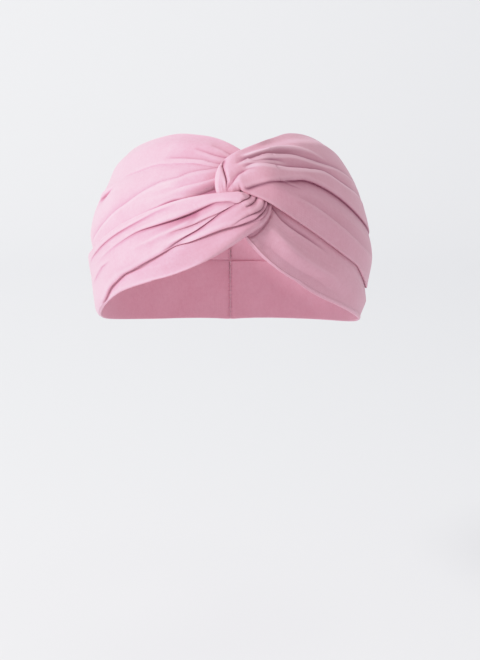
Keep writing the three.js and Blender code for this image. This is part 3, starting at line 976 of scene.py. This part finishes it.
@dataclass
class BackSeam:
    """Seam at the back, where a row of short stitches joins the ends of both strips on the inside."""

    name: str = "back_seam_stitches"
    head: HeadForm = field(default_factory=HeadForm)
    low: float = -27.0
    high: float = 6.2
    # The stitches lie on the cloth's inner face, which is 0.4 mm off the head
    lift: float = 0.15
    pitch: float = 2.6
    stitch: float = 2.8
    # Radius of the thread, which is about 0.3 mm thick and drawn a little thicker so that it shows
    thread: float = 0.22
    # How high a stitch arches, as a share of half its length, and the steps along it and round its thread
    arch: float = 0.45
    thread_steps: int = 6
    # Least and most that a stitch is turned from its place, in radians
    least_sway: tuple[float, float, float] = (-0.05, -0.05, 0.12)
    most_sway: tuple[float, float, float] = (0.05, 0.05, 0.3)
    # Degrees round the head to the seam, and the points along its path
    turn: float = 180.0
    path_points: int = 40
    seed: int = 7
    piece: bpy.types.Object | None = None

    def tree(self) -> bpy.types.NodeTree:
        """Makes the node tree that lays one arched stitch at each step along the seam.

        Returns:
            A geometry node tree with named inputs for the stitch's sizes.
        """
        made = bpy.data.node_groups.new("seam_stitches", "GeometryNodeTree")
        inputs = {"Geometry": "Geometry", "Thread": "Material", "Seed": "Int"}
        inputs |= dict.fromkeys(("Pitch", "Stitch Length", "Thread Radius"), "Float")
        for label, kind in inputs.items():
            made.interface.new_socket(label, in_out="INPUT", socket_type="NodeSocket" + kind)
        made.interface.new_socket("Geometry", in_out="OUTPUT", socket_type="NodeSocketGeometry")
        add = partial(add_node, made)
        given = add("NodeGroupInput", {}, {}).outputs
        seam = add("GeometryNodeMeshToCurve", {}, {"Mesh": given["Geometry"]}).outputs["Curve"]
        pace = {"Curve": seam, "Length": given["Pitch"]}
        steps = add("GeometryNodeCurveToPoints", {"mode": "LENGTH"}, pace).outputs
        times = {"operation": "MULTIPLY"}
        half = add("ShaderNodeMath", times, {0: given["Stitch Length"], 1: 0.5}).outputs[0]
        left = add("ShaderNodeMath", times, {0: half, 1: -1.0}).outputs[0]
        crown = add("ShaderNodeMath", times, {0: half, 1: self.arch}).outputs[0]
        bend: dict[str, Any] = {"Resolution": self.thread_steps}
        for name, axis, length in (("Start", "X", left), ("Middle", "Z", crown), ("End", "X", half)):
            bend[name] = add("ShaderNodeCombineXYZ", {}, {axis: length}).outputs[0]
        arch = add("GeometryNodeCurveQuadraticBezier", {}, bend).outputs["Curve"]
        ring = {"Resolution": self.thread_steps, "Radius": given["Thread Radius"]}
        yarn = add("GeometryNodeCurvePrimitiveCircle", {}, ring).outputs["Curve"]
        sweep = {"Curve": arch, "Profile Curve": yarn, "Fill Caps": True}
        thread = add("GeometryNodeCurveToMesh", {}, sweep).outputs["Mesh"]
        facing = {"axis": "Y", "pivot_axis": "X"}
        upright = add("FunctionNodeAlignRotationToVector", facing, {"Vector": steps["Tangent"]}).outputs[0]
        limits = {0: self.least_sway, 1: self.most_sway, "Seed": given["Seed"]}
        sway = add("FunctionNodeRandomValue", {"data_type": "FLOAT_VECTOR"}, limits).outputs[0]
        slant = add("FunctionNodeEulerToRotation", {}, {"Euler": sway}).outputs[0]
        both = {"Rotation": upright, "Rotate By": slant}
        turned = add("FunctionNodeRotateRotation", {"rotation_space": "LOCAL"}, both).outputs[0]
        spots = {"Points": steps["Points"], "Instance": thread, "Rotation": turned}
        laid = add("GeometryNodeInstanceOnPoints", {}, spots).outputs["Instances"]
        real = add("GeometryNodeRealizeInstances", {}, {"Geometry": laid}).outputs["Geometry"]
        dye = {"Geometry": real, "Material": given["Thread"]}
        dyed = add("GeometryNodeSetMaterial", {}, dye).outputs["Geometry"]
        add("NodeGroupOutput", {}, {"Geometry": dyed})
        return made

    def build(self, thread: bpy.types.Material) -> None:
        """Lays the stitches up the seam and turns them into a plain mesh.

        Args:
            thread: The thread's material.
        """
        rise = np.linspace(self.low, self.high, self.path_points)
        line = self.head.point(np.full_like(rise, self.turn), rise, np.full_like(rise, self.lift))
        path = bpy.data.meshes.new(self.name + "_path")
        path.from_pydata(line.tolist(), [(i, i + 1) for i in range(len(line) - 1)], [])
        maker = new_object(self.name + "_maker", path)
        tree = self.tree()
        given = {item.name: item.identifier for item in tree.interface.items_tree if item.in_out == "INPUT"}
        modifier = maker.modifiers.new("stitches", "NODES")
        modifier.node_group = tree
        lengths = {"Pitch": self.pitch, "Stitch Length": self.stitch, "Thread Radius": self.thread}
        for label, length in lengths.items():
            modifier[given[label]] = length * MM
        modifier[given["Seed"]] = self.seed
        modifier[given["Thread"]] = thread
        maker.update_tag()
        shown = maker.evaluated_get(bpy.context.evaluated_depsgraph_get())
        mesh = bpy.data.meshes.new_from_object(shown)
        maker.modifiers.remove(modifier)
        bpy.data.objects.remove(maker)
        mesh.name = self.name
        mesh.shade_smooth()
        self.piece = new_object(self.name, mesh)

    def dress(self) -> None:
        """Puts the stitches on the band."""
        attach(self.piece, BODY)
        log.info("%s: %d faces", self.name, len(self.piece.data.polygons))


@dataclass(frozen=True)
class Lamp:
    """A square soft light: where it hangs, the length of its side, its power and its colour."""

    name: str
    place: tuple[float, float, float]
    size: float
    watts: float
    colour: str

    def hang(self, target: Vector) -> None:
        """Adds the light to the scene.

        Args:
            target: What it points at.
        """
        light = bpy.data.lights.new(self.name, "AREA")
        light.size = self.size
        light.energy = self.watts
        light.color = linear(self.colour)[:3]
        lamp = new_object(self.name, light)
        lamp.location = self.place
        lamp.rotation_euler = (target - Vector(self.place)).to_track_quat("-Z", "Y").to_euler()


@dataclass(frozen=True)
class Studio:
    """Pale seamless backdrop, soft light from the left, and the camera."""

    # Height of the floor, well below the band, and the sizes of the paper that lies on it and sweeps up
    floor: float = -0.236
    front: float = -3.0
    depth: float = 1.1
    sweep: float = 0.5
    sweep_points: int = 24
    height: float = 1.8
    half_width: float = 2.4
    paper: str = "#E6E7E9"
    cloud: str = "#E9E9EB"
    cloud_scale: float = 2.0
    paper_roughness: float = 0.9
    # A window on the left, and a weak light above that opens the shadows on the right
    lamps: tuple[Lamp, ...] = (
        Lamp("window", (-2.4, -1.0, 1.5), 1.0, 102.0, "#F8FAFF"),
        Lamp("overhead", (0.5, -0.2, 2.4), 1.0, 6.0, "#FFFDFA"),
    )
    band_middle: tuple[float, float, float] = (0.0, 0.0, 0.02)
    air: str = "#FBFBFD"
    air_strength: float = 0.63
    frame_px: tuple[int, int] = (480, 660)
    focal_px: float = 1720.0
    sensor_mm: float = 36.0
    distance: float = 1.0
    elevation: float = 11.0
    # Where the middle of the head hollow shows in the frame
    origin_px: tuple[float, float] = (230.0, 250.0)
    # Scene light against the picture's light, past which the picture stays white
    shoulder: tuple[tuple[float, float], ...] = ((0.5, 0.5), (0.8, 0.75), (1.2, 0.91), (2.2, 1.0))

    def backdrop(self) -> None:
        """Makes the seamless paper: a floor that sweeps up into a wall."""
        profile = [(self.front, self.floor), (self.depth, self.floor)]
        for angle in np.linspace(0, math.pi / 2, self.sweep_points)[1:]:
            back = self.depth + self.sweep * math.sin(angle)
            profile.append((back, self.floor + self.sweep * (1 - math.cos(angle))))
        profile.append((self.depth + self.sweep, self.floor + self.height))
        points = [(side * self.half_width, y, z) for y, z in profile for side in (-1, 1)]
        faces = [(2 * i, 2 * i + 1, 2 * i + 3, 2 * i + 2) for i in range(len(profile) - 1)]
        mesh = bpy.data.meshes.new("backdrop")
        mesh.from_pydata(points, [], faces)
        mesh.shade_smooth()
        mesh.materials.append(self.paper_material())
        paper = new_object("backdrop", mesh)

    def paper_material(self) -> bpy.types.Material:
        """Makes the backdrop's material.

        Returns:
            Matt paper with a faint cloudiness.
        """
        made, shader, place = new_material("matt_backdrop_paper")
        tree = made.node_tree
        noisy = {"Vector": place, "Scale": self.cloud_scale}
        cloud = add_node(tree, "ShaderNodeTexNoise", {}, noisy).outputs["Fac"]
        mixed = {"Factor": cloud, MIX_FIRST: linear(self.paper), MIX_SECOND: linear(self.cloud)}
        tone = add_node(tree, "ShaderNodeMix", {"data_type": "RGBA"}, mixed).outputs[MIX_COLOUR]
        tree.links.new(tone, shader.inputs["Base Color"])
        shader.inputs["Roughness"].default_value = self.paper_roughness
        return made

    def lights(self) -> None:
        """Lights the band from the left like a window, with an even fill from all round."""
        for lamp in self.lamps:
            lamp.hang(Vector(self.band_middle))
        world = bpy.data.worlds.new("studio_air")
        world.use_nodes = True
        air = world.node_tree.nodes["Background"]
        air.inputs["Color"].default_value = linear(self.air)
        air.inputs["Strength"].default_value = self.air_strength
        bpy.context.scene.world = world

    def response(self) -> None:
        """Gives the view a camera's response, in which bright light rolls off instead of clipping."""
        view = bpy.context.scene.view_settings
        view.view_transform = "Standard"
        view.use_curve_mapping = True
        mapping = view.curve_mapping
        mapping.clip_max_x = self.shoulder[-1][0]
        curve = mapping.curves[ALL_COLOURS]
        curve.points[1].location = self.shoulder[-1]
        for point in self.shoulder[:-1]:
            curve.points.new(*point)
        mapping.update()

    def camera(self) -> None:
        """Sets the camera at the photograph's viewing angle, at an assumed distance."""
        up = math.radians(self.elevation)
        across = (self.frame_px[0] / 2 - self.origin_px[0]) / self.focal_px
        down = (self.frame_px[1] / 2 - self.origin_px[1]) / self.focal_px
        lens = bpy.data.cameras.new("camera")
        lens.sensor_fit = "VERTICAL"
        lens.sensor_height = self.sensor_mm
        lens.lens = lens.sensor_height * self.focal_px / self.frame_px[1]
        lens.dof.use_dof = False
        eye = new_object("camera", lens)
        eye.location = (0.0, -self.distance * math.cos(up), self.distance * math.sin(up))
        eye.rotation_euler = Euler((math.pi / 2 - up - math.atan(down), 0.0, -math.atan(across)))
        bpy.context.scene.camera = eye


def main() -> None:
    """Builds the strips, the seam and the studio in order."""
    logging.basicConfig(level=logging.INFO, format="%(message)s")
    jersey = JerseyFinish().material()
    left = Strip(
        "left_strip",
        "left_band",
        LEFT_SECTIONS,
        LEFT_CREASES,
        seed=3.0,
        rolls=((6.0, 13.5), (14.4, 18.0)),
    )
    right = Strip("right_strip", "right_band", RIGHT_SECTIONS, RIGHT_CREASES, seed=11.0)
    left.build()
    right.build()
    left.dress(jersey, right.name)
    right.dress(jersey, left.name)
    seam = BackSeam()
    seam.build(ThreadFinish().material())
    seam.dress()
    studio = Studio()
    studio.backdrop()
    studio.lights()
    studio.camera()
    studio.response()


if __name__ == "__main__":
    main()
